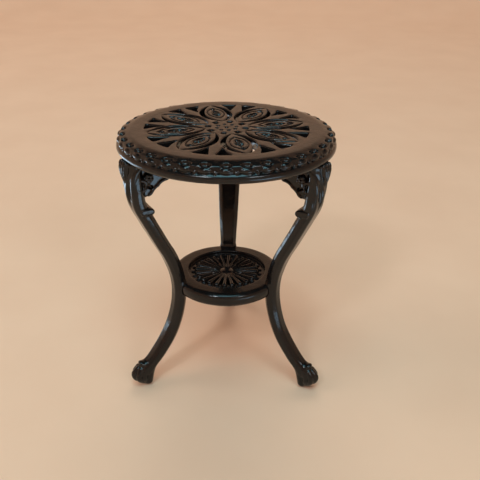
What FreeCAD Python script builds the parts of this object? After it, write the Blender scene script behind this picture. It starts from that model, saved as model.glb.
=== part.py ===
"""Miniature cast table: pierced round top, three cabriole legs and a small pierced lower shelf.

Millimetres, +Z up. The origin lies on the floor, on the axis of the round top. The back leg points
along +Y and the other two stand 120 degrees either side of it. Five castings plug together: each leg
has an upright peg for the top's rim, a notch that grips the shelf's edge and a level peg into that edge.
The back leg is bent outwards a little below the shelf, so its foot stands farther from the axis.
"""
import FreeCAD
import Part
import os

# Overall sizes
TOP_HEIGHT = 33.93
RIM_RADIUS = 13.4
RIM_HEIGHT = 2.3
FACE_RADIUS = 11.65
SHELF_RADIUS = 7.18
SHELF_HEIGHT = 14.38
SHELF_THICKNESS = 1.85
RIM_UNDERSIDE = TOP_HEIGHT - RIM_HEIGHT
SHELF_UNDERSIDE = SHELF_HEIGHT - SHELF_THICKNESS

# Table top
PLATE_THICKNESS = 1.28
PLATE_UNDERSIDE = TOP_HEIGHT - PLATE_THICKNESS
RING_INNER_RADIUS = 10.55
LOBE_COUNT = 36
LOBE_RADII = (0.5, 0.8, 0.42)
LOBE_CENTRE = (12.8, TOP_HEIGHT - 0.85)
LOBE_START_ANGLE = 1.7
BEAD_RADIUS = 0.6
BEVEL_CREST = (12.9, TOP_HEIGHT - 0.29)
BEVEL_FOOT = (RIM_RADIUS - 0.35, TOP_HEIGHT - 1.05)
BEAD_GROOVE_HEIGHT = TOP_HEIGHT - 1.2
PETAL_COUNT = 8
PETAL_START_ANGLE = 15.0
CRESCENT_ENDS = ((2.95, 0.42), (9.05, 0.85))
CRESCENT_BULGE = (6.1, 1.95)
CRESCENT_WIDTH = 0.47
PETAL_HOLES = ((4.9, 0.22), (6.2, 0.3), (8.15, 0.34))
TEARDROP_TIP = (7.55, 0.78)
TEARDROP_INNER_CORNER = (9.95, 0.45)
TEARDROP_OUTER_CORNER = (9.65, 2.15)
TEARDROP_SIDE_BULGE = 0.16
TEARDROP_RIM_BULGE = 0.05
# Each ring of holes round the centre: (count, circle radius, hole radius, start angle)
CENTRE_HOLES = ((1, 0.0, 0.2, 0.0), (8, 1.2, 0.16, 15.0), (8, 2.3, 0.28, 37.5))

# Lower shelf
SHELF_EDGE_ROUND = 0.42
RECESS_RADIUS = 5.1
RECESS_DEPTH = 0.48
RIB_COUNT = 24
RIB_SPAN = (0.7, 4.15)
RIB_WIDTH = 0.3
RIB_HEIGHT = 0.26
HUB_RADIUS = 0.95
SHELF_SLOT_SPAN = (2.75, 3.6)
SHELF_SLOT_WIDTH = 0.22
SHELF_HOLE_CIRCLE = 4.5
SHELF_HOLE_RADIUS = 0.22

# Legs, in the plane through the table's axis: x is the distance from the axis
LEG_ANGLES = {"leg_back": 90.0, "leg_left": 210.0, "leg_right": 330.0}
# Each station of the shaft: (distance from axis, height, half depth, half width)
SHAFT_STATIONS = (
    (12.0, 2.6, 0.8, 0.95),
    (10.57, 4.1, 0.8, 1.0),
    (8.9, 6.5, 0.81, 1.06),
    (7.78, 8.95, 0.81, 1.08),
    (7.1, 12.0, 0.82, 1.08),
    (7.2, 15.0, 0.82, 1.1),
    (8.12, 18.1, 0.83, 1.28),
    (9.5, 20.9, 0.82, 1.42),
    (10.93, 23.8, 0.82, 1.5),
    (12.15, 26.3, 0.88, 1.5),
    (12.42, 28.6, 0.9, 1.52),
    (12.52, 30.6, 0.86, 1.52),
    (12.6, 32.4, 0.84, 1.5),
)
SHAFT_CHAMFER = 0.42
# How far the back leg is bent outwards: nothing at the shelf, most at the ankle and below
BEND = {"leg_back": 2.8, "leg_left": 0.0, "leg_right": 0.0}
BEND_TOP = 12.0
BEND_POWER = 1.5
ANKLE_HEIGHT = 2.5
BRACKET_THICKNESS = 2.0
BRACKET_INNER_EDGE = (
    (7.35, 31.0),
    (7.45, 30.0),
    (8.15, 29.05),
    (8.95, 28.65),
    (9.6, 28.2),
    (10.2, 27.5),
    (10.75, 27.15),
    (11.4, 27.0),
)
BRACKET_ROOT = (11.7, 26.2)
BRACKET_BACK = ((12.3, 27.5), (12.5, RIM_UNDERSIDE))
EYE_CENTRE = (11.95, 28.9)
EYE_RADIUS = 0.4
EYE_DEPTH = 0.35
VOLUTE_RADIUS = 0.95
VOLUTE_WIDTH = 2.7
WINDOW_CENTRE = (10.85, 28.5)
WINDOW_RADIUS = 0.2
BOSS_CENTRE = (10.95, 29.65)
BOSS_RADIUS = 0.7
BOSS_HEIGHT = 0.25
COLLAR_OUTLINE = (
    (11.05, 25.95),
    (10.6, 25.75),
    (10.5, 25.45),
    (10.75, 25.15),
    (12.2, 25.45),
    (12.15, 25.95),
)
COLLAR_WIDTH = 3.3
LEAF_OUTLINE = (
    (13.15, 29.0),
    (13.5, 29.6),
    (13.7, 30.3),
    (13.76, 31.0),
    (13.7, 31.4),
    (13.55, 31.63),
    (12.7, 31.63),
    (12.7, 29.0),
)
LEAF_WIDTH = 1.9

# Paw feet: toes fan out round a pivot in the ball of the foot
BALL_CENTRE = (12.5, 0.95)
BALL_RADII = (1.05, 0.95, 1.2)
TOE_COUNT = 5
TOE_FAN = 42.0
TOE_PIVOT = 12.75
TOE_REACH = (1.1, 0.58)
TOE_HEIGHT = 1.6
TOE_RADII = (0.5, 0.42, 1.2)
INSTEP_CENTRE = (12.25, 2.2)
INSTEP_RADII = (1.1, 0.9, 1.3)
SPUR_CENTRE = (12.8, 3.35)
SPUR_RADII = (0.6, 0.65, 0.42)

# Joints between the castings
TOP_PEG_DISTANCE = 11.75
TOP_PEG_RADIUS = 0.6
TOP_PEG_LENGTH = 1.1
SHELF_PEG_RADIUS = 0.35
SHELF_PEG_HEIGHT = SHELF_UNDERSIDE + 0.85
SHELF_PEG_TIP = 5.95
SHELF_PEG_ROOT = 7.5
PEG_CLEARANCE = 0.03

UP = FreeCAD.Vector(0, 0, 1)
ORIGIN = FreeCAD.Vector(0, 0, 0)

# Sizes of cutting blocks, each larger than what it cuts
THROUGH = 5.0
BELOW_SHELF = SHELF_UNDERSIDE - 1.0
FLOOR_BLOCK = 40.0
ABOVE_RIM_BLOCK = 10.0


def turned(shape, angle):
    """A copy of shape turned about the table's axis."""
    copy = shape.copy()
    copy.rotate(ORIGIN, UP, angle)
    return copy


def side_point(x, z, y=0.0):
    """The point x from the axis and z above the floor, y to the side of the leg's plane."""
    return FreeCAD.Vector(x, y, z)


def polygon_face(points):
    return Part.Face(Part.makePolygon(list(points) + [points[0]]))


def slab(outline, width):
    """A side outline (x, z) made into a plate of that width, centred on the leg's plane."""
    face = polygon_face([side_point(x, z, -width / 2) for x, z in outline])
    return face.extrude(FreeCAD.Vector(0, width, 0))


def ellipsoid(centre, radii):
    scale = FreeCAD.Matrix()
    scale.scale(FreeCAD.Vector(*radii))
    shape = Part.makeSphere(1.0).transformGeometry(scale)
    shape.translate(centre)
    return shape


def ring_of(shape, count, start=0.0):
    """The shape repeated evenly about the table's axis."""
    return [turned(shape, start + 360.0 * i / count) for i in range(count)]


def turned_disc(profile):
    """A solid of revolution from a (radius, height) outline."""
    return polygon_face([side_point(x, z) for x, z in profile]).revolve(ORIGIN, UP, 360)


# ---- table top ----

def rim_and_plate():
    bead_centre = (RIM_RADIUS - BEAD_RADIUS, RIM_UNDERSIDE + BEAD_RADIUS)
    profile = (
        (0.0, TOP_HEIGHT),
        (FACE_RADIUS, TOP_HEIGHT),
        BEVEL_CREST,
        BEVEL_FOOT,
        (bead_centre[0], BEAD_GROOVE_HEIGHT),
        (bead_centre[0], RIM_UNDERSIDE),
        (RING_INNER_RADIUS, RIM_UNDERSIDE),
        (RING_INNER_RADIUS, PLATE_UNDERSIDE),
        (0.0, PLATE_UNDERSIDE),
    )
    bead = Part.makeTorus(bead_centre[0], BEAD_RADIUS, side_point(0, bead_centre[1]), UP)
    return turned_disc(profile).fuse(bead)


def rim_lobes():
    return ring_of(ellipsoid(side_point(*LOBE_CENTRE), LOBE_RADII), LOBE_COUNT, LOBE_START_ANGLE)


def flat_cutter(edges):
    """A cutter through the whole plate from edges drawn at the height of the top face."""
    face = Part.Face(Part.Wire(edges))
    cutter = face.extrude(UP * (-THROUGH))
    cutter.translate(UP)
    return cutter


def plan_point(x, y):
    """A point on the top face."""
    return FreeCAD.Vector(x, y, TOP_HEIGHT)


def crescent_cutter(side):
    """One curved slot along a petal that points along +X; side is +1 or -1."""
    first, last = (plan_point(x, side * y) for x, y in CRESCENT_ENDS)
    crest_x, crest_y = CRESCENT_BULGE
    outer = Part.Arc(first, plan_point(crest_x, side * crest_y), last)
    inner = Part.Arc(last, plan_point(crest_x, side * (crest_y - CRESCENT_WIDTH)), first)
    return flat_cutter([outer.toShape(), inner.toShape()])


def teardrop_cutter(side):
    """One three-cornered hole beside the +X axis, its long side bowed inwards."""
    tip = plan_point(TEARDROP_TIP[0], side * TEARDROP_TIP[1])
    inner = plan_point(TEARDROP_INNER_CORNER[0], side * TEARDROP_INNER_CORNER[1])
    outer = plan_point(TEARDROP_OUTER_CORNER[0], side * TEARDROP_OUTER_CORNER[1])
    rim_middle = (inner + outer) * 0.5 + FreeCAD.Vector(TEARDROP_RIM_BULGE, 0, 0)
    side_middle = (outer + tip) * 0.5 + FreeCAD.Vector(0, -side * TEARDROP_SIDE_BULGE, 0)
    return flat_cutter([
        Part.LineSegment(tip, inner).toShape(),
        Part.Arc(inner, rim_middle, outer).toShape(),
        Part.Arc(outer, side_middle, tip).toShape(),
    ])


def round_cutter(distance, radius):
    return Part.makeCylinder(radius, THROUGH, plan_point(distance, 0) + UP, -UP)


def top_openings():
    petal = [crescent_cutter(side) for side in (1, -1)]
    petal += [round_cutter(distance, radius) for distance, radius in PETAL_HOLES]
    between = [teardrop_cutter(side) for side in (1, -1)]
    cutters = []
    for shape in petal:
        cutters += ring_of(shape, PETAL_COUNT, PETAL_START_ANGLE)
    for shape in between:
        cutters += ring_of(shape, PETAL_COUNT, PETAL_START_ANGLE + 180.0 / PETAL_COUNT)
    for count, circle, radius, start in CENTRE_HOLES:
        cutters += ring_of(round_cutter(circle, radius), count, start)
    return cutters


def top_peg(radius, extra_length=0.0):
    """The upright peg of a leg that points along +X, or its hole when given a clearance."""
    base = side_point(TOP_PEG_DISTANCE, RIM_UNDERSIDE)
    return Part.makeCylinder(radius, TOP_PEG_LENGTH + extra_length, base)


def make_table_top():
    plate = rim_and_plate().fuse(rim_lobes())
    socket = top_peg(TOP_PEG_RADIUS + PEG_CLEARANCE, PEG_CLEARANCE)
    sockets = [turned(socket, angle) for angle in LEG_ANGLES.values()]
    return plate.cut(top_openings() + sockets)


# ---- lower shelf ----

def shelf_peg(radius, tip):
    """The level peg of a leg that points along +X, or its hole when given a clearance."""
    root = side_point(SHELF_PEG_ROOT, SHELF_PEG_HEIGHT)
    return Part.makeCylinder(radius, root.x - tip, root, FreeCAD.Vector(-1, 0, 0))


def shelf_disc():
    """The plain disc with its rounded upper and lower edges."""
    disc = Part.makeCylinder(SHELF_RADIUS, SHELF_THICKNESS, side_point(0, SHELF_UNDERSIDE))
    rims = [edge for edge in disc.Edges if edge.Curve.TypeId == "Part::GeomCircle"]
    return disc.makeFillet(SHELF_EDGE_ROUND, rims)


def radial_bar(span, width, height, base):
    start, end = span
    return Part.makeBox(end - start, width, height, FreeCAD.Vector(start, -width / 2, base))


def make_lower_shelf():
    recess_floor = SHELF_HEIGHT - RECESS_DEPTH
    recess = Part.makeCylinder(RECESS_RADIUS, THROUGH, side_point(0, recess_floor))
    disc = shelf_disc().cut(recess)
    rib = radial_bar(RIB_SPAN, RIB_WIDTH, RIB_HEIGHT, recess_floor)
    hub = Part.makeCylinder(HUB_RADIUS, RIB_HEIGHT, side_point(0, recess_floor))
    disc = disc.fuse(ring_of(rib, RIB_COUNT) + [hub])
    slot = radial_bar(SHELF_SLOT_SPAN, SHELF_SLOT_WIDTH, THROUGH, BELOW_SHELF)
    hole = Part.makeCylinder(SHELF_HOLE_RADIUS, THROUGH, side_point(SHELF_HOLE_CIRCLE, BELOW_SHELF))
    half_step = 180.0 / RIB_COUNT
    cutters = ring_of(slot, RIB_COUNT, half_step) + ring_of(hole, RIB_COUNT, half_step)
    peg_hole = shelf_peg(SHELF_PEG_RADIUS + PEG_CLEARANCE, SHELF_PEG_TIP - PEG_CLEARANCE)
    cutters += [turned(peg_hole, angle) for angle in LEG_ANGLES.values()]
    return disc.cut(cutters)


# ---- legs ----

def bent_by(bend, z):
    """How far a leg's point at height z moves outwards for that much bend."""
    share = (BEND_TOP - min(max(z, ANKLE_HEIGHT), BEND_TOP)) / BEND_TOP
    return bend * share ** BEND_POWER


def shaft_section(centre, tangent, half_depth, half_width):
    """An eight-sided section square to the shaft's centre line."""
    across = FreeCAD.Vector(0, 1, 0)
    outward = across.cross(tangent).normalize()
    corner_depth = half_depth - SHAFT_CHAMFER
    corner_width = half_width - SHAFT_CHAMFER
    corners = (
        (half_depth, -corner_width),
        (half_depth, corner_width),
        (corner_depth, half_width),
        (-corner_depth, half_width),
        (-half_depth, corner_width),
        (-half_depth, -corner_width),
        (-corner_depth, -half_width),
        (corner_depth, -half_width),
    )
    points = [centre + outward * depth + across * width for depth, width in corners]
    return Part.makePolygon(points + [points[0]])


def shaft(bend):
    """The S-shaped bar from ankle to rim."""
    centres = [side_point(x + bent_by(bend, z), z) for x, z, depth, width in SHAFT_STATIONS]
    line = Part.BSplineCurve()
    line.interpolate(centres)
    sections = []
    for centre, (x, z, half_depth, half_width) in zip(centres, SHAFT_STATIONS):
        tangent = FreeCAD.Vector(*line.tangent(line.parameter(centre))[0])
        sections.append(shaft_section(centre, tangent, half_depth, half_width))
    return Part.makeLoft(sections, True, False)


def bracket():
    """The pierced plate inside the knee, stepped up behind the rim to meet the plate's underside."""
    step = RING_INNER_RADIUS - PEG_CLEARANCE
    outline = BRACKET_INNER_EDGE + (BRACKET_ROOT,) + BRACKET_BACK + (
        (step, RIM_UNDERSIDE),
        (step, PLATE_UNDERSIDE),
        (BRACKET_INNER_EDGE[0][0], PLATE_UNDERSIDE),
    )
    return slab(outline, BRACKET_THICKNESS)


def across_cylinder(centre, radius, length, start):
    return Part.makeCylinder(radius, length, side_point(*centre, start), FreeCAD.Vector(0, 1, 0))


def bosses():
    """The round flower boss and the scroll's volute, both standing proud of each face of the bracket."""
    width = BRACKET_THICKNESS + 2 * BOSS_HEIGHT
    flower = across_cylinder(BOSS_CENTRE, BOSS_RADIUS, width, -width / 2)
    volute = across_cylinder(EYE_CENTRE, VOLUTE_RADIUS, VOLUTE_WIDTH, -VOLUTE_WIDTH / 2)
    return [flower, volute]


def bracket_cutters():
    """The scroll's eye on each face, and the small window beside it."""
    face = VOLUTE_WIDTH / 2
    near = across_cylinder(EYE_CENTRE, EYE_RADIUS, THROUGH, face - EYE_DEPTH)
    far = across_cylinder(EYE_CENTRE, EYE_RADIUS, THROUGH, EYE_DEPTH - face - THROUGH)
    window = across_cylinder(WINDOW_CENTRE, WINDOW_RADIUS, THROUGH, -THROUGH / 2)
    return [near, far, window]


def paw(bend):
    """The ball of the foot with its fan of toes, the instep above and the spur at the ankle."""
    parts = [
        ellipsoid(side_point(*BALL_CENTRE), BALL_RADII),
        ellipsoid(side_point(*INSTEP_CENTRE), INSTEP_RADII),
        ellipsoid(side_point(*SPUR_CENTRE), SPUR_RADII),
    ]
    toe = ellipsoid(ORIGIN, TOE_RADII)
    for i in range(TOE_COUNT):
        angle = (i - (TOE_COUNT - 1) / 2) * TOE_FAN
        reach = turned(Part.Vertex(1, 0, 0), angle).Point
        place = side_point(TOE_PIVOT + TOE_REACH[0] * reach.x, TOE_HEIGHT, TOE_REACH[1] * reach.y)
        parts.append(toe.translated(place))
    shift = side_point(bent_by(bend, ANKLE_HEIGHT), 0)
    return [part.translated(shift) for part in parts]


def make_leg(bend):
    """A leg that points along +X."""
    additions = [bracket()] + bosses()
    additions += [slab(COLLAR_OUTLINE, COLLAR_WIDTH), slab(LEAF_OUTLINE, LEAF_WIDTH)] + paw(bend)
    leg = shaft(bend).fuse(additions)
    floor_corner = FreeCAD.Vector(0, -FLOOR_BLOCK / 2, -THROUGH)
    floor = Part.makeBox(FLOOR_BLOCK, FLOOR_BLOCK, THROUGH, floor_corner)
    rim_corner = FreeCAD.Vector(RING_INNER_RADIUS, -ABOVE_RIM_BLOCK / 2, RIM_UNDERSIDE)
    above_rim = Part.makeBox(ABOVE_RIM_BLOCK, ABOVE_RIM_BLOCK, THROUGH, rim_corner)
    leg = leg.cut([floor, above_rim, shelf_disc()] + bracket_cutters())
    pegs = [top_peg(TOP_PEG_RADIUS), shelf_peg(SHELF_PEG_RADIUS, SHELF_PEG_TIP)]
    return leg.fuse(pegs)


def save(name, shape):
    shape = shape.removeSplitter()
    print(name, shape.isValid(), len(shape.Solids), round(shape.Volume, 2), shape.BoundBox)
    shape.exportStep(f"parts/{name}.step")


os.makedirs("parts", exist_ok=True)
save("table_top", make_table_top())
save("lower_shelf", make_lower_shelf())
for leg_name, leg_angle in LEG_ANGLES.items():
    save(leg_name, turned(make_leg(BEND[leg_name]), leg_angle))
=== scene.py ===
"""Looks of a miniature cast table: pierced top, three cabriole legs, pierced lower shelf, gloss black enamel.

Every casting is described as a distance field in millimetres and skinned into one closed mesh, so that
mouldings, scrolls and joints melt into each other as they do under thick paint.
"""
import math

import bpy
import numpy as np
from mathutils import Matrix, Vector


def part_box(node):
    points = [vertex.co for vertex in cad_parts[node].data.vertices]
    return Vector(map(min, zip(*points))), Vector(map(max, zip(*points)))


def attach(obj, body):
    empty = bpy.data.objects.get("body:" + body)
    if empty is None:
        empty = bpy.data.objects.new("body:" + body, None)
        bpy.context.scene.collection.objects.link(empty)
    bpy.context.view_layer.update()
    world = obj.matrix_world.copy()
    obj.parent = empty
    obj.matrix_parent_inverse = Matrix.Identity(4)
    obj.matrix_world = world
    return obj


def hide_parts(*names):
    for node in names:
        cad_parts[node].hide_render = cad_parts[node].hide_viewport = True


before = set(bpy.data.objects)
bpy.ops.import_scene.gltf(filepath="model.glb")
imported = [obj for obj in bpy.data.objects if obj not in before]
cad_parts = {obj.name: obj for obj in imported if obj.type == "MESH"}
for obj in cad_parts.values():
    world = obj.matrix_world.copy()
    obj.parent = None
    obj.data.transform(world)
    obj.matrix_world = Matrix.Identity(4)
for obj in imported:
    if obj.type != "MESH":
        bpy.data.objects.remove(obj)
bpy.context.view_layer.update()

MM = 0.001
# Small amounts that keep divisions and roots away from zero
TINY = 1e-6
AXIS_GAP = 1e-9

# ---- driving sizes, read from the frame, in millimetres ----
TOP_LOW, TOP_HIGH = (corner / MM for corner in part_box("table_top"))
SHELF_LOW, SHELF_HIGH = (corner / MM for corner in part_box("lower_shelf"))
TOP_HEIGHT = TOP_HIGH.z
RIM_RADIUS = TOP_HIGH.x
RIM_UNDERSIDE = TOP_LOW.z
SHELF_RADIUS = SHELF_HIGH.x
SHELF_HEIGHT = SHELF_HIGH.z
SHELF_THICKNESS = SHELF_HIGH.z - SHELF_LOW.z
LEG_ANGLES = {"leg_back": 90.0, "leg_left": 210.0, "leg_right": 330.0}

# ---- table top, millimetres ----
FACE_RADIUS = 11.65
PLATE_THICKNESS = 1.28
RING_INNER_RADIUS = 10.55
BEVEL_CREST = (12.9, TOP_HEIGHT - 0.29)
BEVEL_FOOT = (13.1, TOP_HEIGHT - 1.05)
BEAD_RADIUS = 0.6
LOBE_COUNT = 36
LOBE_TURN = 1.7
LOBE_CENTRE = (12.8, TOP_HEIGHT - 0.85)
LOBE_RADII = (0.5, 0.8, 0.42)
HOLLOW_CENTRE = (12.62, TOP_HEIGHT - 0.3)
HOLLOW_RADII = (0.4, 0.6, 0.38)
DOT_CENTRE = (13.0, TOP_HEIGHT - 1.05)
DOT_RADIUS = 0.2
PETAL_COUNT = 8
PETAL_TURN = 15.0
CRESCENT_OUTER = ((2.95, 0.42), (6.1, 2.06), (9.05, 0.92))
CRESCENT_INNER = ((2.95, 0.34), (6.1, 1.42), (9.05, 0.66))
RING_OUTER = ((3.95, 0.1), (6.15, 1.18), (8.55, 0.1))
RING_INNER = ((4.75, 0.1), (6.1, 0.66), (7.45, 0.1))
TEARDROP_TIP = (7.5, 0.8)
TEARDROP_INNER_CORNER = (10.05, 0.4)
TEARDROP_OUTER_CORNER = (9.75, 2.3)
TEARDROP_REACH = 10.02
CENTRE_WINDOW_CIRCLE = 2.3
GROOVE_DEPTH = 0.25
FIELD_SINK = 0.15
HOLE_EDGE_ROUND = 0.18
FACE_EDGE_ROUND = 0.05
RIM_EDGE_ROUND = 0.15
SINK_STEEPNESS = 0.8
CRESCENT_EDGE_ROUND = 0.06
TEARDROP_CORNER_ROUND = 0.25
TEARDROP_REACH_ROUND = 0.3
# The teardrop's long side bows inwards: how far along the hole, over what width, and how deep
TEARDROP_BOW = (8.7, 0.7, 0.14)
# The ring groove in a petal: its offset inside the ring and its half width
RING_GROOVE = (0.13, 0.13)
# The sunk field inside the groove: how far inside its ring it starts, and the width of its edge
FIELD_INSET = 0.02
FIELD_EDGE_WIDTH = 0.16
# The flower in a petal: each bump's place along and across the petal, and its radius
FLOWER_BUMPS = ((6.1, 0.0, 0.24), (5.55, 0.0, 0.2), (6.65, 0.0, 0.2), (6.1, 0.38, 0.2))
FLOWER_HEIGHT_SHARE = 0.95
# Each small round hole in a petal: its place along and across the petal, and its radius
PETAL_HOLES = ((5.75, 0.27, 0.12), (6.45, 0.27, 0.12), (7.1, 0.0, 0.11), (5.1, 0.0, 0.11))
# The oval hole near the petal's end: its place, the scale on distances along the petal, and its radius
PETAL_OVAL = (8.0, 0.6, 0.17)
CENTRE_WINDOW_HALF_DEPTH = 0.34
CENTRE_WINDOW_HALF_WIDTH = 0.3
CENTRE_WINDOW_ROUND = 0.18
CENTRE_DOT_CIRCLE = 1.22
CENTRE_DOT_RADIUS = 0.17
CENTRE_HOLE_RADIUS = 0.19
HOLE_SEAM = 0.02
CASTING_WAVE_HEIGHT = 0.004
PLATE_MELT = 0.15
LOBE_MELT = 0.1
BEAD_MELT = 0.12
# Share of the skin's faces that stay after thinning
TOP_FACE_SHARE = 0.35

# ---- lower shelf, millimetres ----
SHELF_EDGE_ROUND = 0.42
RECESS_RADIUS = 5.1
RECESS_DEPTH = 0.5
RAY_COUNT = 24
RAY_TURN = 5.0
RAY_SPAN = (1.0, 3.95)
HUB_RADIUS = 1.0
HUB_HEIGHT = 0.34
RAY_MELT = 0.1
RAY_INNER_RADIUS = 0.13
RAY_WIDENING = 0.055
RAY_FLATTENING = 0.8
SHELF_SLOT_SPAN = (2.1, 3.55)
# A slot's half width: at the axis, and how much wider for each millimetre outwards
SHELF_SLOT_WIDTH = (0.02, 0.035)
SHELF_SLOT_ROUND = 0.08
SHELF_HOLE_CIRCLE = 4.45
SHELF_HOLE_RADIUS = 0.24
SHELF_HOLE_ROUND = 0.12
RECESS_EDGE_ROUND = 0.16
SHELF_FACE_SHARE = 0.85

# ---- legs, millimetres: x is the distance from the table's axis ----
# Each station of the shaft: (distance from axis, height, half depth, half width)
SHAFT_STATIONS = (
    (12.6, 1.9, 0.8, 0.9),
    (11.95, 2.65, 0.86, 0.93),
    (10.57, 4.1, 0.86, 1.0),
    (8.9, 6.5, 0.85, 1.06),
    (7.78, 8.95, 0.81, 1.08),
    (7.1, 12.0, 0.82, 1.08),
    (7.2, 15.0, 0.82, 1.1),
    (8.12, 18.1, 0.83, 1.28),
    (9.5, 20.9, 0.82, 1.42),
    (10.93, 23.8, 0.82, 1.54),
    (12.05, 26.3, 0.82, 1.56),
    (12.3, 28.6, 0.78, 1.56),
    (12.42, 30.6, 0.74, 1.56),
    (12.5, 32.6, 0.74, 1.56),
)
SHAFT_CHAMFER = 0.5
SHAFT_SIDE_ROUND = 0.12
SHAFT_CORNER_ROUND = 0.14
SHAFT_END_ROUND = 0.1
# How many straight pieces a curve has between two of its points
CURVE_STEPS = 3
OUTLINE_STEPS = 4
SHAFT_CURVE_STEPS = 10
# How far a leg runs up into the rim so that no gap shows
RIM_OVERLAP = 0.02
# The value of a banded field outside its band
FAR = 5.0
# How far the back leg is bent outwards: nothing at the shelf, most at the ankle and below
BEND = {"leg_back": 2.8, "leg_left": 0.0, "leg_right": 0.0}
BEND_TOP = 12.0
BEND_POWER = 1.5
ANKLE_HEIGHT = 2.5
PAINT_FILLET = 0.45
LEG_WAVE_HEIGHT = 0.006
KNEE_BAND = (24.4, 33.0)
FOOT_BAND = (-1.0, 5.0)


# ---- distance field tools: every function works on whole arrays of points ----

def smooth_min(a, b, blend):
    """Union of two fields, melted together over the width blend."""
    overlap = np.maximum(blend - np.abs(a - b), 0.0) / blend
    return np.minimum(a, b) - overlap * overlap * blend * 0.25


def smooth_max(a, b, blend):
    """Intersection of two fields, rounded over the width blend."""
    return -smooth_min(-a, -b, blend)


def melt(fields, blend):
    result = fields[0]
    for field in fields[1:]:
        result = smooth_min(result, field, blend)
    return result


def cut(field, hole, blend):
    return smooth_max(field, -hole, blend)


def slab(distance, low, high):
    """How far a coordinate lies outside the band from low to high."""
    return np.abs(distance - (low + high) / 2) - (high - low) / 2


def ellipsoid(x, y, z, centre, radii):
    px, py, pz = x - centre[0], y - centre[1], z - centre[2]
    spread = (px / radii[0]) ** 2 + (py / radii[1]) ** 2 + (pz / radii[2]) ** 2
    near = np.sqrt(spread) + TINY
    slope = (px / radii[0] ** 2) ** 2 + (py / radii[1] ** 2) ** 2 + (pz / radii[2] ** 2) ** 2
    steep = np.sqrt(slope) + TINY
    return near * (near - 1.0) / steep


def circle_through(points):
    """Centre and radius of the circle through three points."""
    (ax, ay), (bx, by), (cx, cy) = points
    d = 2 * (ax * (by - cy) + bx * (cy - ay) + cx * (ay - by))
    a2, b2, c2 = ax * ax + ay * ay, bx * bx + by * by, cx * cx + cy * cy
    ux = (a2 * (by - cy) + b2 * (cy - ay) + c2 * (ay - by)) / d
    uy = (a2 * (cx - bx) + b2 * (ax - cx) + c2 * (bx - ax)) / d
    return (ux, uy), math.hypot(ax - ux, ay - uy)


def arc_field(u, v, points):
    """Signed distance to the circle through three points, negative inside it."""
    centre, radius = circle_through(points)
    return np.hypot(u - centre[0], v - centre[1]) - radius


def line_field(u, v, start, end):
    """Signed distance to the line from start to end, negative on its right."""
    du, dv = end[0] - start[0], end[1] - start[1]
    length = math.hypot(du, dv)
    return ((v - start[1]) * du - (u - start[0]) * dv) / length


def chain_field(place, points):
    """Unsigned distance to an open chain of straight pieces, in a plane or in space."""
    best = None
    for start, end in zip(points[:-1], points[1:]):
        step = [b - a for a, b in zip(start, end)]
        offset = [p - a for a, p in zip(start, place)]
        reach = sum(o * s for o, s in zip(offset, step)) / sum(s * s for s in step)
        along = np.clip(reach, 0.0, 1.0)
        gap = np.sqrt(sum((o - along * s) ** 2 for o, s in zip(offset, step)))
        best = gap if best is None else np.minimum(best, gap)
    return best


def polygon_field(u, v, points):
    """Signed distance to a closed outline, negative inside it."""
    inside = np.zeros(u.shape, bool)
    closed = list(points) + [points[0]]
    for (au, av), (bu, bv) in zip(closed[:-1], closed[1:]):
        spans = (av > v) != (bv > v)
        if av != bv:
            inside ^= spans & (u < (bu - au) * (v - av) / (bv - av) + au)
    edge = chain_field((u, v), closed)
    return np.where(inside, -edge, edge)


def curve_through(points, steps=6):
    """A smooth open curve through points, as a denser chain."""
    p = np.array([points[0], *points, points[-1]], float)
    chain = []
    for i in range(1, len(p) - 2):
        for t in np.linspace(0.0, 1.0, steps, endpoint=False):
            chain.append(0.5 * (2 * p[i] + (p[i + 1] - p[i - 1]) * t
                                + (2 * p[i - 1] - 5 * p[i] + 4 * p[i + 1] - p[i + 2]) * t * t
                                + (3 * p[i] - p[i - 1] - 3 * p[i + 1] + p[i + 2]) * t ** 3))
    chain.append(p[-2])
    return [tuple(point) for point in chain]


def folded_angle(angle, count, turn=0.0):
    """The angle from the nearest of count evenly spaced rays, in radians."""
    step = 2 * math.pi / count
    turned = angle - math.radians(turn)
    return turned - step * np.round(turned / step)


def banded(field, low, high, x, y, z):
    """The field's values between two heights, and far outside elsewhere."""
    result = np.full(z.shape, FAR)
    near = (z > low) & (z < high)
    if near.any():
        result[near] = field(x[near], y[near], z[near])
    return result


def casting_waves(x, y, z, height):
    """Slow, slight unevenness of a painted casting: waves per millimetre that share no common period."""
    return height * (
        np.sin(1.9 * x + 0.7 * y + 0.4) * np.sin(2.3 * y - 0.5 * z + 1.1)
        + np.sin(1.3 * z + 2.1 * x - 0.8) * np.sin(1.7 * y + 1.1 * z)
        + 0.6 * np.sin(4.3 * x + 1.7 * z) * np.sin(3.9 * y + 2.2 * z + 0.6)
    )


# ---- skinning a field ----

# How many layers of the grid are worked out together, which bounds the memory used
LAYERS_AT_ONCE = 16
# The least squared slope by which a step towards the surface is divided
GENTLEST_SLOPE = 0.2
CORNERS = [(i, j, k) for i in (0, 1) for j in (0, 1) for k in (0, 1)]


def corner_values(grid, corner):
    """The grid's values at one corner of every cell."""
    shape = grid.shape
    i, j, k = corner
    return grid[i:shape[0] - 1 + i, j:shape[1] - 1 + j, k:shape[2] - 1 + k]


def cell_vertices(values, cells):
    """One point per cell, in cell units: the mean of where the surface crosses the cell's edges."""
    total = np.zeros((len(cells), 3))
    hits = np.zeros(len(cells))
    for start in CORNERS:
        for axis in range(3):
            if start[axis]:
                continue
            end = tuple(1 if a == axis else start[a] for a in range(3))
            a = values[tuple((cells + start).T)]
            b = values[tuple((cells + end).T)]
            crosses = (a < 0) != (b < 0)
            share = np.where(crosses, a / np.where(crosses, a - b, 1.0), 0.0)
            point = np.array(start, float) + share[:, None] * (np.array(end) - np.array(start))
            total += point * crosses[:, None]
            hits += crosses
    return cells + total / hits[:, None]


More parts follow.
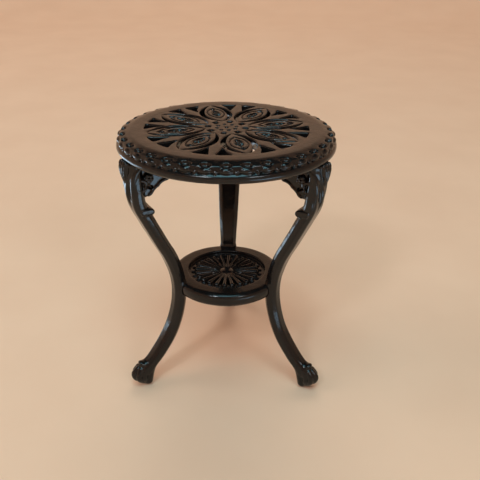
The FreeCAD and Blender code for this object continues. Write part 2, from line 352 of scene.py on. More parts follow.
def cell_quads(inside, index):
    """A quad for every grid edge that the surface crosses, wound so that it faces outwards."""
    quads = []
    for axis in range(3):
        u, v = (axis + 1) % 3, (axis + 2) % 3
        low = [slice(1, -1)] * 3
        high = [slice(1, -1)] * 3
        low[axis], high[axis] = slice(0, -1), slice(1, None)
        below, above = inside[tuple(low)], inside[tuple(high)]
        edges = np.argwhere(below != above)
        rising = below[tuple(edges.T)]
        base = edges + 1
        base[:, axis] -= 1
        step_u, step_v = np.eye(3, dtype=int)[u], np.eye(3, dtype=int)[v]
        ring = [base - step_u - step_v, base - step_v, base, base - step_u]
        quad = np.stack([index[tuple(cell.T)] for cell in ring], axis=1)
        quad[~rising] = quad[~rising][:, ::-1]
        quads.append(quad)
    return np.concatenate(quads)


def settle(points, field, cell, rounds=3):
    """Moves points onto the field's zero surface."""
    probe = cell * 0.05
    for _ in range(rounds):
        x, y, z = points.T
        d = field(x, y, z)
        slope = np.stack([
            field(x + probe, y, z) - field(x - probe, y, z),
            field(x, y + probe, z) - field(x, y - probe, z),
            field(x, y, z + probe) - field(x, y, z - probe),
        ], axis=1) / (2 * probe)
        steep = np.maximum((slope ** 2).sum(1), GENTLEST_SLOPE)
        step = np.clip(d / steep, -0.5 * cell, 0.5 * cell)
        points = points - slope * step[:, None]
    return points


def skin(name, field, low, high, cell):
    """A closed, smooth-shaded mesh object round the inside of field, in metres."""
    axes = [np.arange(a - 2 * cell, b + 2 * cell, cell) for a, b in zip(low, high)]
    x, y, z = np.meshgrid(*axes, indexing="ij", sparse=True)
    shape = tuple(len(a) for a in axes)
    x, y, z = (np.broadcast_to(a, shape) for a in (x, y, z))
    values = np.empty(shape)
    for layer in range(0, shape[2], LAYERS_AT_ONCE):
        part = (slice(None), slice(None), slice(layer, layer + LAYERS_AT_ONCE))
        values[part] = field(x[part], y[part], z[part])
    inside = values < 0
    filled = sum(corner_values(inside, corner).astype(np.int8) for corner in CORNERS)
    crossed = (filled > 0) & (filled < len(CORNERS))
    cells = np.argwhere(crossed)
    index = np.full(crossed.shape, -1)
    index[crossed] = np.arange(len(cells))
    origin = np.array([a[0] for a in axes])
    points = origin + cell * cell_vertices(values, cells)
    points = settle(points, field, cell)
    quads = cell_quads(inside, index)
    mesh = bpy.data.meshes.new(name)
    mesh.from_pydata((points * MM).tolist(), [], quads.tolist())
    mesh.shade_smooth()
    piece = bpy.data.objects.new(name, mesh)
    bpy.context.scene.collection.objects.link(piece)
    return piece


def thinned(piece, share):
    """Drops faces where the surface is nearly flat."""
    modifier = piece.modifiers.new("thin", "DECIMATE")
    modifier.ratio = share
    with bpy.context.temp_override(object=piece, active_object=piece):
        bpy.ops.object.modifier_apply(modifier=modifier.name)
    piece.data.shade_smooth()


# ---- table top ----

def rim_fields(r, z, angle):
    """The bead, the olive-shaped lobes, the oval hollows behind them and the dots between their feet."""
    bead = np.hypot(r - (RIM_RADIUS - BEAD_RADIUS), z - (RIM_UNDERSIDE + BEAD_RADIUS)) - BEAD_RADIUS
    across = r * folded_angle(angle, LOBE_COUNT, LOBE_TURN)
    lobe = ellipsoid(r, across, z, (LOBE_CENTRE[0], 0, LOBE_CENTRE[1]), LOBE_RADII)
    hollow = ellipsoid(r, across, z, (HOLLOW_CENTRE[0], 0, HOLLOW_CENTRE[1]), HOLLOW_RADII)
    between = r * folded_angle(angle, LOBE_COUNT, LOBE_TURN + 180.0 / LOBE_COUNT)
    dot = np.sqrt((r - DOT_CENTRE[0]) ** 2 + between ** 2 + (z - DOT_CENTRE[1]) ** 2) - DOT_RADIUS
    return bead, lobe, hollow, dot


def petal_openings(u, v):
    """The two slots of a petal that points along u, seen from one side of its centre line."""
    outer = arc_field(u, v, CRESCENT_OUTER)
    inner = arc_field(u, v, CRESCENT_INNER)
    return smooth_max(outer, -inner, CRESCENT_EDGE_ROUND)


def teardrop_openings(u, v):
    """The three-cornered hole beside the line midway between two petals, which runs along u."""
    inner_side = -line_field(u, v, TEARDROP_TIP, TEARDROP_INNER_CORNER)
    petal_side = line_field(u, v, TEARDROP_TIP, TEARDROP_OUTER_CORNER)
    bow_place, bow_width, bow_depth = TEARDROP_BOW
    bow = bow_depth * np.exp(-((u - bow_place) / bow_width) ** 2)
    hole = smooth_max(inner_side, petal_side + bow, TEARDROP_CORNER_ROUND)
    return smooth_max(hole, np.hypot(u, v) - TEARDROP_REACH, TEARDROP_REACH_ROUND)


def petal_relief(u, v):
    """Depth, in millimetres, that the ornament inside a petal is sunk below the top face."""
    outer_ring = arc_field(u, v, RING_OUTER)
    inner_ring = arc_field(u, v, RING_INNER)
    groove_offset, groove_half_width = RING_GROOVE
    groove = np.maximum(0.0, 1.0 - (np.abs(outer_ring + groove_offset) / groove_half_width) ** 2)
    field = np.clip(-(inner_ring + FIELD_INSET) / FIELD_EDGE_WIDTH, 0.0, 1.0)
    flower = np.zeros_like(u)
    for centre_u, centre_v, radius in FLOWER_BUMPS:
        reach = np.hypot(u - centre_u, v - centre_v) / radius
        flower = np.maximum(flower, np.maximum(0.0, 1.0 - reach ** 2))
    sunk_field = FIELD_SINK * field * (1.0 - FLOWER_HEIGHT_SHARE * flower)
    return np.maximum(GROOVE_DEPTH * groove, sunk_field)


def petal_piercings(u, v):
    """The small holes along a petal."""
    place, along_scale, radius = PETAL_OVAL
    holes = np.hypot((u - place) * along_scale, v) - radius
    for along, across, hole_radius in PETAL_HOLES:
        holes = np.minimum(holes, np.hypot(u - along, v - across) - hole_radius)
    return holes


def centre_piercings(r, angle):
    """The eight small windows round the middle, the eight dots inside them and the central hole."""
    across = r * folded_angle(angle, PETAL_COUNT, PETAL_TURN + 180.0 / PETAL_COUNT)
    inner = CENTRE_WINDOW_CIRCLE - CENTRE_WINDOW_HALF_DEPTH
    outer = CENTRE_WINDOW_CIRCLE + CENTRE_WINDOW_HALF_DEPTH
    ring = slab(r, inner, outer)
    side = np.abs(across) - CENTRE_WINDOW_HALF_WIDTH * r / CENTRE_WINDOW_CIRCLE
    window = smooth_max(ring, side, CENTRE_WINDOW_ROUND)
    dot_across = r * folded_angle(angle, PETAL_COUNT, PETAL_TURN)
    dots = np.hypot(r - CENTRE_DOT_CIRCLE, dot_across) - CENTRE_DOT_RADIUS
    return melt([window, dots, r - CENTRE_HOLE_RADIUS], HOLE_SEAM)


def top_field(x, y, z):
    r = np.hypot(x, y) + AXIS_GAP
    angle = np.arctan2(y, x)
    plate = np.maximum(slab(z, TOP_HEIGHT - PLATE_THICKNESS, TOP_HEIGHT), r - RIM_RADIUS)
    ring = slab(r, RING_INNER_RADIUS, RIM_RADIUS - BEAD_RADIUS)
    ring = np.maximum(ring, slab(z, RIM_UNDERSIDE, TOP_HEIGHT))
    body = smooth_min(plate, ring, PLATE_MELT)
    slope = line_field(r, z, (FACE_RADIUS, TOP_HEIGHT), BEVEL_CREST)
    drop = line_field(r, z, BEVEL_CREST, BEVEL_FOOT)
    body = smooth_max(smooth_max(body, slope, FACE_EDGE_ROUND), drop, RIM_EDGE_ROUND)
    below_bevel = np.maximum(r - (RIM_RADIUS - BEAD_RADIUS), z - BEVEL_FOOT[1])
    body = np.where(z < BEVEL_FOOT[1], np.maximum(body, below_bevel), body)
    bead, lobe, hollow, dot = rim_fields(r, z, angle)
    body = smooth_min(cut(body, hollow, RIM_EDGE_ROUND), lobe, LOBE_MELT)
    body = melt([body, bead, dot], BEAD_MELT)
    fold = np.abs(folded_angle(angle, PETAL_COUNT, PETAL_TURN))
    u, v = r * np.cos(fold), r * np.sin(fold)
    half_step = math.pi / PETAL_COUNT
    mid_u, mid_v = r * np.cos(half_step - fold), r * np.sin(half_step - fold)
    sunk = z - (TOP_HEIGHT - petal_relief(u, v))
    body = smooth_max(body, sunk * SINK_STEEPNESS, FACE_EDGE_ROUND)
    holes = melt([petal_openings(u, v), teardrop_openings(mid_u, mid_v), petal_piercings(u, v),
                  centre_piercings(r, angle)], HOLE_SEAM)
    body = cut(body, holes, HOLE_EDGE_ROUND)
    return body + casting_waves(x, y, z, CASTING_WAVE_HEIGHT)


# ---- lower shelf ----

def shelf_field(x, y, z):
    r = np.hypot(x, y) + AXIS_GAP
    angle = np.arctan2(y, x)
    disc = shelf_blank(x, y, z)
    floor_height = SHELF_HEIGHT - RECESS_DEPTH
    recess = np.maximum(r - RECESS_RADIUS, floor_height - z)
    disc = cut(disc, recess, RECESS_EDGE_ROUND)
    ray_angle = folded_angle(angle, RAY_COUNT, RAY_TURN + 180.0 / RAY_COUNT)
    gap_angle = folded_angle(angle, RAY_COUNT, RAY_TURN)
    start, end = RAY_SPAN
    along = np.clip(r * np.cos(ray_angle), start, end)
    ray = np.hypot(r * np.cos(ray_angle) - along, r * np.sin(ray_angle))
    ray = np.hypot(ray, (z - floor_height) * RAY_FLATTENING) - (RAY_INNER_RADIUS + RAY_WIDENING * along)
    hub = ellipsoid(x, y, z, (0, 0, floor_height), (HUB_RADIUS, HUB_RADIUS, HUB_HEIGHT))
    disc = melt([disc, ray, hub], RAY_MELT)
    across = np.abs(r * np.sin(gap_angle))
    slot_width, slot_widening = SHELF_SLOT_WIDTH
    slot = smooth_max(slab(r, *SHELF_SLOT_SPAN), across - (slot_width + slot_widening * r), SHELF_SLOT_ROUND)
    hole = np.hypot(r * np.cos(gap_angle) - SHELF_HOLE_CIRCLE, across) - SHELF_HOLE_RADIUS
    disc = cut(disc, np.minimum(slot, hole), SHELF_HOLE_ROUND)
    return disc + casting_waves(x, y, z, CASTING_WAVE_HEIGHT)


# ---- legs ----

BRACKET_OUTLINE = (
    curve_through(((7.35, 31.9), (7.4, 30.7), (7.75, 29.75), (8.25, 29.02)), OUTLINE_STEPS)
    + curve_through(((8.4, 28.92), (8.88, 28.83), (9.3, 28.6), (9.55, 28.3)), OUTLINE_STEPS)
    + curve_through(((9.75, 28.22), (10.15, 27.87), (10.55, 27.4), (11.4, 27.15)), OUTLINE_STEPS)
    + [(11.45, 26.8), (11.25, 26.1), (12.0, 25.9), (12.5, 28.0), (12.5, 32.2), (7.35, 32.2)]
)
COLLAR_OUTLINE = (
    curve_through(((11.05, 26.0), (10.68, 25.9), (10.48, 25.6), (10.55, 25.3), (10.8, 25.12)), OUTLINE_STEPS)
    + [(12.05, 25.2), (12.25, 25.6), (12.15, 25.95)]
)
# The knee's reeds: each chain runs upwards, (distance from axis, distance from the leg's plane, height)
REED_RADIUS = 0.34
MIDDLE_REED = curve_through((
    (12.3, 0.0, 25.7), (12.8, 0.0, 26.7), (13.05, 0.0, 27.7), (13.1, 0.1, 28.7),
    (13.05, 0.45, 29.5), (12.95, 0.75, 30.3), (12.75, 1.0, 30.9), (12.4, 1.1, 31.3),
), CURVE_STEPS)
SIDE_REED = curve_through((
    (11.95, 0.85, 25.7), (12.45, 0.95, 26.7), (12.75, 1.05, 27.8), (12.85, 1.15, 28.9),
    (12.75, 1.25, 29.8), (12.45, 1.3, 30.6), (11.9, 1.25, 31.05), (11.2, 1.1, 31.0),
), CURVE_STEPS)
EYE_CENTRE = (11.95, 28.9)
EYE_RING_RADIUS = 0.68
EYE_PIT_RADIUS = 0.4
WINDOW = ((10.5, 28.35), (11.15, 28.65))
WINDOW_RADIUS = 0.2
BOSS_CENTRE = (10.95, 29.6)
BOSS_PETALS = 6
BOSS_CIRCLE = 0.4
BOSS_PETAL_RADII = (0.3, 0.44, 0.3)
BUTTON_LIFT = 0.25
BUTTON_RADII = (0.24, 0.3, 0.24)
BRACKET_HALF_WIDTH = 1.0
WEB_INSET = 0.1
WEB_EDGE_ROUND = 0.3
# The bead along the web's edge: how far in from the edge, how far in from the face, radius, where it ends
EDGE_BEAD = (0.18, 0.16, 0.2, 10.9)
EYE_BLOCK_HALF_WIDTH = 1.2
EYE_RING_SIDE = 1.25
EYE_RING_THICKNESS = 0.25
EYE_PIT_SIDE = 1.3
EYE_PIT_DEPTH = 0.65
BRACKET_MELT = 0.12
BRACKET_HOLE_ROUND = 0.1
COLLAR_ROUND = 0.2
COLLAR_MELT = 0.12
REED_SEAM = 0.04
REED_END_ROUND = 0.05
REED_MELT = 0.08
LEAF_MELT = 0.06
LEAF_POINT_HALF_WIDTH = 0.1
LEAF_SIDE_ROUND = 0.15
LEAF_END_ROUND = 0.12
LEAF_BACK = 12.7
LEAF_BACK_ROUND = 0.1
LEAF_RIM_OVERLAP = 0.2
FLUTE_SOFTNESS = 0.01
TOE_MELT = 0.06
BALL_MELT = 0.12
INSTEP_MELT = 0.15
SPUR_MELT = 0.35
KNEE_MELT = 0.14
FOOT_MELT = 0.3
SOLE_ROUND = 0.05
SHELF_GAP = 0.04
COLLAR_HALF_WIDTH = 1.68
LEAF_LOW = 28.95
LEAF_HALF_WIDTH = 0.85
# The palmette's outward face: heights, and the distance from the axis at each
LEAF_HEIGHTS = (28.6, 29.1, 29.6, 30.3, 31.0, 31.5, 31.9)
LEAF_FACE = (13.4, 13.45, 13.62, 13.76, 13.8, 13.72, 13.5)
# Flutes on each side of the palmette's middle line
LEAF_FLUTES = 1.5
FLUTE_DEPTH = 0.42
TOE_RADIUS = 0.4
# The toes and heel: each chain runs upwards, (distance from axis, distance from the leg's plane, height)
MIDDLE_TOE = ((12.5, 0.0, 0.5), (13.25, 0.0, 0.85), (13.8, 0.0, 1.35), (13.9, 0.0, 2.0), (13.3, 0.0, 2.6))
FRONT_TOE = ((12.5, 0.3, 0.5), (13.1, 0.42, 0.85), (13.5, 0.62, 1.35), (13.5, 0.6, 2.0), (13.1, 0.45, 2.6))
SIDE_TOE = ((12.3, 0.4, 0.5), (12.65, 0.5, 0.85), (12.8, 0.68, 1.35), (12.75, 0.66, 2.0), (12.5, 0.5, 2.6))
HEEL = ((12.12, 0.4, 0.6), (11.98, 0.42, 1.3), (11.75, 0.35, 2.1), (11.4, 0.3, 3.0))
HEEL_RADIUS = 0.56
BALL_CENTRE, BALL_RADII = (12.6, 0, 1.35), (1.1, 0.8, 1.1)
INSTEP_CENTRE, INSTEP_RADII = (12.15, 0, 2.3), (1.1, 0.95, 1.2)
SPUR_CENTRE, SPUR_RADII = (12.72, 3.2), (0.6, 0.6, 0.36)
# Cosine and sine of the angle by which the spur leans
SPUR_LEAN = (0.85, 0.53)


def shaft_line():
    """Fine tables of the shaft's centre line, slope, depth and width against height."""
    stations = np.array(curve_through(SHAFT_STATIONS, SHAFT_CURVE_STEPS))
    slope = np.gradient(stations[:, 0], stations[:, 1])
    return stations[:, 1], stations[:, 0], slope, stations[:, 2], stations[:, 3]


SHAFT = shaft_line()


def shaft_field(x, y, z):
    """An eight-sided bar whose section stays square to its bent centre line."""
    heights, line, slope, depth, width = SHAFT
    lean = 1.0 / np.sqrt(1.0 + np.interp(z, heights, slope) ** 2)
    off = np.abs(x - np.interp(z, heights, line)) * lean
    half_depth = np.interp(z, heights, depth)
    half_width = np.interp(z, heights, width)
    side = np.abs(y)
    bar = smooth_max(off - half_depth, side - half_width, SHAFT_SIDE_ROUND)
    corner = (off + side - half_depth - half_width + SHAFT_CHAMFER) * math.sqrt(0.5)
    bar = smooth_max(bar, corner, SHAFT_CORNER_ROUND)
    return smooth_max(bar, slab(z, heights[0], RIM_UNDERSIDE + RIM_OVERLAP), SHAFT_END_ROUND)


def bracket_field(x, y, z):
    """The web inside the knee with its beaded edge, the flower boss and the scroll's eye."""
    outline = polygon_field(x, z, BRACKET_OUTLINE)
    side = np.abs(y)
    web = smooth_max(outline, side - BRACKET_HALF_WIDTH + WEB_INSET, WEB_EDGE_ROUND)
    edge_inset, face_inset, bead_radius, bead_end = EDGE_BEAD
    edge_bead = np.hypot(outline + edge_inset, side - BRACKET_HALF_WIDTH + face_inset) - bead_radius
    edge_bead = np.maximum(edge_bead, x - bead_end)
    eye_distance = np.hypot(x - EYE_CENTRE[0], z - EYE_CENTRE[1])
    eye_block = smooth_max(eye_distance - EYE_RING_RADIUS, side - EYE_BLOCK_HALF_WIDTH, WEB_EDGE_ROUND)
    eye_ring = np.hypot(eye_distance - EYE_RING_RADIUS, side - EYE_RING_SIDE) - EYE_RING_THICKNESS
    petals = []
    for i in range(BOSS_PETALS):
        angle = 2 * math.pi * (i + 0.25) / BOSS_PETALS
        petal_x = BOSS_CENTRE[0] + BOSS_CIRCLE * math.cos(angle)
        petal_z = BOSS_CENTRE[1] + BOSS_CIRCLE * math.sin(angle)
        petal_centre = (petal_x, BRACKET_HALF_WIDTH, petal_z)
        petals.append(ellipsoid(x, side, z, petal_centre, BOSS_PETAL_RADII))
    button_centre = (BOSS_CENTRE[0], BRACKET_HALF_WIDTH + BUTTON_LIFT, BOSS_CENTRE[1])
    button = ellipsoid(x, side, z, button_centre, BUTTON_RADII)
    bracket = melt([web, edge_bead, eye_block, eye_ring] + petals + [button], BRACKET_MELT)
    pit_centre = (EYE_CENTRE[0], EYE_PIT_SIDE, EYE_CENTRE[1])
    pit = ellipsoid(x, side, z, pit_centre, (EYE_PIT_RADIUS, EYE_PIT_DEPTH, EYE_PIT_RADIUS))
    bracket = cut(bracket, pit, BRACKET_HOLE_ROUND)
    window = chain_field((x, z), WINDOW) - WINDOW_RADIUS
    return cut(bracket, window, BRACKET_HOLE_ROUND)


def reeds_field(x, y, z):
    """Reeds up the outer face of the knee: they part round the palmette and curl in under the rim."""
    side = np.abs(y)
    reeds = [chain_field((x, side, z), line) - REED_RADIUS for line in (MIDDLE_REED, SIDE_REED)]
    return smooth_max(melt(reeds, REED_SEAM), z - RIM_UNDERSIDE - RIM_OVERLAP, REED_END_ROUND)


def leaf_field(x, y, z):
    """Fluted palmette on the outward face of the knee, wide under the rim and ending in a point."""
    high = RIM_UNDERSIDE + LEAF_RIM_OVERLAP
    share = np.clip((z - LEAF_LOW) / (high - LEAF_LOW), 0.0, 1.0)
    half_width = LEAF_HALF_WIDTH * np.sqrt(share) + LEAF_POINT_HALF_WIDTH
    surface = np.interp(z, LEAF_HEIGHTS, LEAF_FACE)
    strip = np.abs(np.sin(np.clip(y / half_width, -1, 1) * math.pi * LEAF_FLUTES))
    front = x - (surface - FLUTE_DEPTH + FLUTE_DEPTH * np.sqrt(strip + FLUTE_SOFTNESS))
    leaf = smooth_max(front, np.abs(y) - half_width, LEAF_SIDE_ROUND)
    leaf = smooth_max(leaf, slab(z, LEAF_LOW, high), LEAF_END_ROUND)
    return smooth_max(leaf, LEAF_BACK - x, LEAF_BACK_ROUND)


def paw_field(x, y, z):
    """A fan of fluted toes round the ball of the foot, the instep above and the spur at the ankle."""
    side = np.abs(y)
    toes = [chain_field((x, side, z), curve_through(line, CURVE_STEPS)) - TOE_RADIUS
            for line in (MIDDLE_TOE, FRONT_TOE, SIDE_TOE)]
    heels = chain_field((x, side, z), curve_through(HEEL, CURVE_STEPS)) - HEEL_RADIUS
    ball = ellipsoid(x, y, z, BALL_CENTRE, BALL_RADII)
    instep = ellipsoid(x, y, z, INSTEP_CENTRE, INSTEP_RADII)
    paw = melt(toes, TOE_MELT)
    paw = melt([smooth_min(paw, ball, BALL_MELT), heels, instep], INSTEP_MELT)
    lean_cos, lean_sin = SPUR_LEAN
    spur_x, spur_z = SPUR_CENTRE
    leaning_centre = (spur_x * lean_cos + spur_z * lean_sin, 0, spur_z * lean_cos - spur_x * lean_sin)
    leaning_x = x * lean_cos + z * lean_sin
    leaning_z = z * lean_cos - x * lean_sin
    spur = ellipsoid(leaning_x, y, leaning_z, leaning_centre, SPUR_RADII)
    return smooth_min(paw, spur, SPUR_MELT)


def shelf_blank(x, y, z):
    """The shelf before its recess: a disc with rounded edges."""
    low = SHELF_HEIGHT - SHELF_THICKNESS
    return smooth_max(np.hypot(x, y) - SHELF_RADIUS, slab(z, low, SHELF_HEIGHT), 2 * SHELF_EDGE_ROUND)


def knee_field(x, y, z):
    collar = smooth_max(polygon_field(x, z, COLLAR_OUTLINE), np.abs(y) - COLLAR_HALF_WIDTH, COLLAR_ROUND)
    knee = melt([bracket_field(x, y, z), reeds_field(x, y, z)], REED_MELT)
    knee = smooth_min(knee, leaf_field(x, y, z), LEAF_MELT)
    return smooth_min(knee, collar, COLLAR_MELT)


def leg_field(x, y, z, bend):
    """A leg that points along +X, its lower part bent outwards."""
    share = (BEND_TOP - np.clip(z, ANKLE_HEIGHT, BEND_TOP)) / BEND_TOP
    x = x - bend * share ** BEND_POWER
    leg = shaft_field(x, y, z)
    leg = smooth_min(leg, banded(knee_field, *KNEE_BAND, x, y, z), KNEE_MELT)
    leg = smooth_min(leg, banded(paw_field, *FOOT_BAND, x, y, z), FOOT_MELT)
    leg = smooth_max(leg, -z, SOLE_ROUND)
    shelf = shelf_blank(x, y, z)
    fillet = np.maximum(0.0, 1.0 - (np.abs(leg) + np.abs(shelf)) / PAINT_FILLET)
    leg = np.maximum(leg - 0.5 * PAINT_FILLET * fillet ** 2, -shelf - SHELF_GAP)
    return leg + casting_waves(x, y, z, LEG_WAVE_HEIGHT)


# ---- materials ----

ENAMEL_DARK = (0.005, 0.0042, 0.0042, 1)
ENAMEL_LIGHT = (0.0095, 0.0076, 0.007, 1)
ENAMEL_ROUGHNESS = (0.1, 0.24)
ENAMEL_IOR = 1.42
RIPPLE_STRENGTH = 0.16
RIPPLE_DEPTH = 0.0001
PAPER_DARK = (0.72, 0.47, 0.33, 1)
PAPER_LIGHT = (0.75, 0.5, 0.355, 1)
PAPER_ROUGHNESS = 0.85
# Each noise: (scale, detail), and each ramp: where its first and last colours stand
ENAMEL_COLOUR_NOISE = (420, 4)
ENAMEL_GLOSS_NOISE = (900, 3)
RIPPLE_NOISE = (2200, 2)
PAPER_NOISE = (60, 6)
ENAMEL_RAMP = (0.35, 0.75)
PAPER_RAMP = (0.3, 0.7)


def noise_texture(nodes, scale, detail):
    noise = nodes.new("ShaderNodeTexNoise")
    noise.inputs["Scale"].default_value = scale
    noise.inputs["Detail"].default_value = detail
    return noise


def two_colours(nodes, start, first, end, last):
    """A colour ramp from one colour at start to the other at end."""
    colours = nodes.new("ShaderNodeValToRGB")
    colours.color_ramp.elements[0].position = start
    colours.color_ramp.elements[0].color = first
    colours.color_ramp.elements[1].position = end
    colours.color_ramp.elements[1].color = last
    return colours


def gloss_black():
    """Thick gloss black enamel over a small casting: near-black, faintly brown, slightly rippled."""
    material = bpy.data.materials.new("gloss_black_enamel")
    material.use_nodes = True
    nodes, links = material.node_tree.nodes, material.node_tree.links
    shader = nodes["Principled BSDF"]
    coordinates = nodes.new("ShaderNodeTexCoord")
    colour_noise = noise_texture(nodes, *ENAMEL_COLOUR_NOISE)
    colours = two_colours(nodes, ENAMEL_RAMP[0], ENAMEL_DARK, ENAMEL_RAMP[1], ENAMEL_LIGHT)
    gloss_noise = noise_texture(nodes, *ENAMEL_GLOSS_NOISE)
    gloss = nodes.new("ShaderNodeMapRange")
    gloss.inputs["To Min"].default_value = ENAMEL_ROUGHNESS[0]
    gloss.inputs["To Max"].default_value = ENAMEL_ROUGHNESS[1]
    ripple = noise_texture(nodes, *RIPPLE_NOISE)
    bump = nodes.new("ShaderNodeBump")
    bump.inputs["Strength"].default_value = RIPPLE_STRENGTH
    bump.inputs["Distance"].default_value = RIPPLE_DEPTH
    for noise in (colour_noise, gloss_noise, ripple):
        links.new(coordinates.outputs["Object"], noise.inputs["Vector"])
    links.new(colour_noise.outputs["Fac"], colours.inputs["Fac"])
    links.new(colours.outputs["Color"], shader.inputs["Base Color"])
    links.new(gloss_noise.outputs["Fac"], gloss.inputs["Value"])
    links.new(gloss.outputs["Result"], shader.inputs["Roughness"])
    links.new(ripple.outputs["Fac"], bump.inputs["Height"])
    links.new(bump.outputs["Normal"], shader.inputs["Normal"])
    shader.inputs["IOR"].default_value = ENAMEL_IOR
    return material


def pale_paper():
    """Matt peach paper sweep."""
    material = bpy.data.materials.new("pale_paper")
    material.use_nodes = True
    nodes, links = material.node_tree.nodes, material.node_tree.links
    shader = nodes["Principled BSDF"]
    coordinates = nodes.new("ShaderNodeTexCoord")
    noise = noise_texture(nodes, *PAPER_NOISE)
    colours = two_colours(nodes, PAPER_RAMP[0], PAPER_DARK, PAPER_RAMP[1], PAPER_LIGHT)
    links.new(coordinates.outputs["Object"], noise.inputs["Vector"])
    links.new(noise.outputs["Fac"], colours.inputs["Fac"])
    links.new(colours.outputs["Color"], shader.inputs["Base Color"])
    shader.inputs["Roughness"].default_value = PAPER_ROUGHNESS
    return material


# ---- stage, in metres ----

# The flat floor: the radii of its inner rings, and where it starts to rise
SWEEP_RINGS = (0.0, 0.1, 0.2)
SWEEP_FLOOR = 0.3
SWEEP_BEND = 0.15
SWEEP_BEND_STEPS = 12
SWEEP_WALL_TURN = 75
SWEEP_WALL = 0.45
SWEEP_SIDES = 64
AMBIENT_COLOUR = (1.0, 0.85, 0.7, 1)
AMBIENT_STRENGTH = 0.2
AIM = (0, 0, 0.02)
FLOOR = (0, 0, 0)
# Each lamp: (name, place, target, width, watts, colour, whether the gloss reflects it)
LAMPS = (
    ("softbox_overhead", (0, -0.12, 0.35), AIM, 0.22, 0.6, (0.4, 0.87, 1.0), True),
    ("lamp_left", (-0.125, -0.27, 0.28), AIM, 0.06, 0.34, (0.8, 0.93, 1.0), True),
    ("lamp_right", (0.18, -0.28, 0.235), AIM, 0.1, 0.2, (0.8, 0.93, 1.0), True),
    ("fill_left", (-0.4, 0.0, 0.3), FLOOR, 0.3, 0.68, (1.0, 0.93, 0.86), False),
    ("fill_back", (0, 0.34, 0.42), FLOOR, 0.35, 0.85, (0.97, 1.0, 0.94), False),
    ("floor_card", (-0.085, 0.035, 0.001), (-0.085, 0.035, 1.0), 0.07, 0.06, (0.55, 0.8, 1.0), True),
    ("knee_card", (0.045, -0.053, 0.001), (0.045, -0.053, 1.0), 0.04, 0.018, (0.45, 0.75, 1.0), True),
)
# The camera stands here, in millimetres, and its angles are in degrees
CAMERA_PLACE = (2.73, -81.11, 59.02)
CAMERA_PITCH = 26.47
CAMERA_HEADING = 0.69
CAMERA_ROLL = 0.56
SENSOR_WIDTH = 36.0
LENS_LENGTH = 51.7
NEAREST_SEEN = 0.001


def paper_sweep(material):
    """A floor that curves up into a wall well behind the table, and the same on the other sides."""
    profile = [(r, 0.0) for r in SWEEP_RINGS + (SWEEP_FLOOR,)]
    for i in range(1, SWEEP_BEND_STEPS + 1):
        a = math.radians(SWEEP_WALL_TURN * i / SWEEP_BEND_STEPS)
        profile.append((SWEEP_FLOOR + SWEEP_BEND * math.sin(a), SWEEP_BEND - SWEEP_BEND * math.cos(a)))
    last_r, last_z = profile[-1]
    lean = math.radians(SWEEP_WALL_TURN)
    profile.append((last_r + SWEEP_WALL * math.cos(lean), last_z + SWEEP_WALL * math.sin(lean)))
    points, faces = [], []
    for r, z in profile:
        for i in range(SWEEP_SIDES):
            a = 2 * math.pi * i / SWEEP_SIDES
            points.append((r * math.cos(a), r * math.sin(a), z))
    for ring in range(len(profile) - 1):
        for i in range(SWEEP_SIDES):
            j = (i + 1) % SWEEP_SIDES
            low, high = ring * SWEEP_SIDES, (ring + 1) * SWEEP_SIDES
            faces.append((low + i, low + j, high + j, high + i))
    mesh = bpy.data.meshes.new("paper_sweep")
    mesh.from_pydata(points, [], faces)
    mesh.shade_smooth()
    sweep = bpy.data.objects.new("paper_sweep", mesh)
    sweep.data.materials.append(material)
    bpy.context.scene.collection.objects.link(sweep)
    return sweep


def area_light(name, place, target, width, power, colour, reflected):
    """A round lamp; one that is not reflected lights the paint without showing in its gloss."""
    light = bpy.data.lights.new(name, "AREA")
    light.shape = "DISK"
    light.size = width
    light.energy = power
    light.color = colour
    lamp = bpy.data.objects.new(name, light)
    lamp.location = place
    lamp.visible_camera = False
    lamp.visible_glossy = reflected
    aim = Vector(target) - Vector(place)
    lamp.rotation_euler = aim.to_track_quat("-Z", "Y").to_euler()
    bpy.context.scene.collection.objects.link(lamp)
    return lamp


def studio_light():
    world = bpy.context.scene.world or bpy.data.worlds.new("studio")
    bpy.context.scene.world = world
    world.use_nodes = True
    background = world.node_tree.nodes["Background"]
    background.inputs["Color"].default_value = AMBIENT_COLOUR
    background.inputs["Strength"].default_value = AMBIENT_STRENGTH
    world.cycles_visibility.glossy = False
    for lamp in LAMPS:
        area_light(*lamp)
    bpy.context.scene.view_settings.view_transform = "Standard"


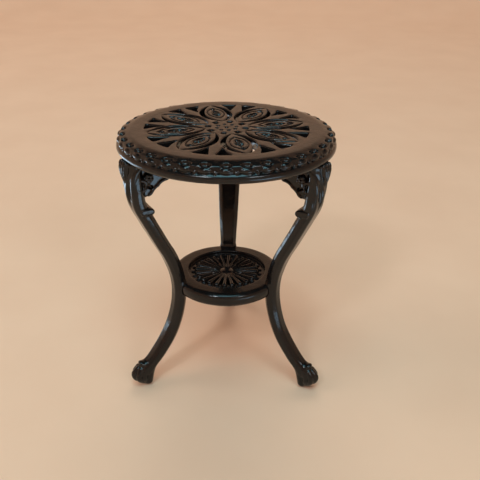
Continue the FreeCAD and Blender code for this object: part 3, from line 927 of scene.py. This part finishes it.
def camera():
    """Looks down at the table from in front."""
    lens = bpy.data.cameras.new("camera")
    lens.sensor_width = SENSOR_WIDTH
    lens.lens = LENS_LENGTH
    lens.clip_start = NEAREST_SEEN
    eye = bpy.data.objects.new("camera", lens)
    pitch, heading, roll = (math.radians(angle) for angle in (CAMERA_PITCH, CAMERA_HEADING, CAMERA_ROLL))
    turn = Matrix.Rotation(heading, 4, "Z") @ Matrix.Rotation(math.pi / 2 - pitch, 4, "X")
    turn = turn @ Matrix.Rotation(roll, 4, "Z")
    eye.matrix_world = Matrix.Translation(Vector(CAMERA_PLACE) * MM) @ turn
    bpy.context.scene.collection.objects.link(eye)
    bpy.context.scene.camera = eye


# Each skin's box, (low corner, high corner), and the edge of the grid's cells
TOP_BOX = ((-13.4, -13.4, 31.7), (13.4, 13.4, 34.3))
SHELF_BOX = ((-7.4, -7.4, 12.4), (7.4, 7.4, 14.6))
LEG_BOX = ((6.0, -2.0, -0.05), (14.5, 2.0, 32.0))
TOP_CELL = 0.09
SHELF_CELL = 0.08
LEG_CELL = 0.08


def make_leg(name, angle, coarse):
    """One leg's casting, its lower part bent as that leg's is, turned to its place."""
    bend = BEND[name]
    high_x, high_y, high_z = LEG_BOX[1]

    def bent_leg(x, y, z):
        return leg_field(x, y, z, bend)

    leg = skin(name + "_casting", bent_leg, LEG_BOX[0], (high_x + bend, high_y, high_z), LEG_CELL * coarse)
    leg.data.transform(Matrix.Rotation(math.radians(angle), 4, "Z"))
    return leg


def make_pieces():
    """The five castings, each riding with the part and standing in for its node."""
    coarse = 1.0
    enamel = gloss_black()
    top = skin("table_top_casting", top_field, *TOP_BOX, TOP_CELL * coarse)
    thinned(top, TOP_FACE_SHARE)
    shelf = skin("lower_shelf_casting", shelf_field, *SHELF_BOX, SHELF_CELL * coarse)
    thinned(shelf, SHELF_FACE_SHARE)
    pieces = [(top, "table_top"), (shelf, "lower_shelf")]
    for name, angle in LEG_ANGLES.items():
        pieces.append((make_leg(name, angle, coarse), name))
    for piece, node in pieces:
        piece.data.materials.clear()
        piece.data.materials.append(enamel)
        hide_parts(node)
        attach(piece, "root")


camera()
studio_light()
paper_sweep(pale_paper())
make_pieces()
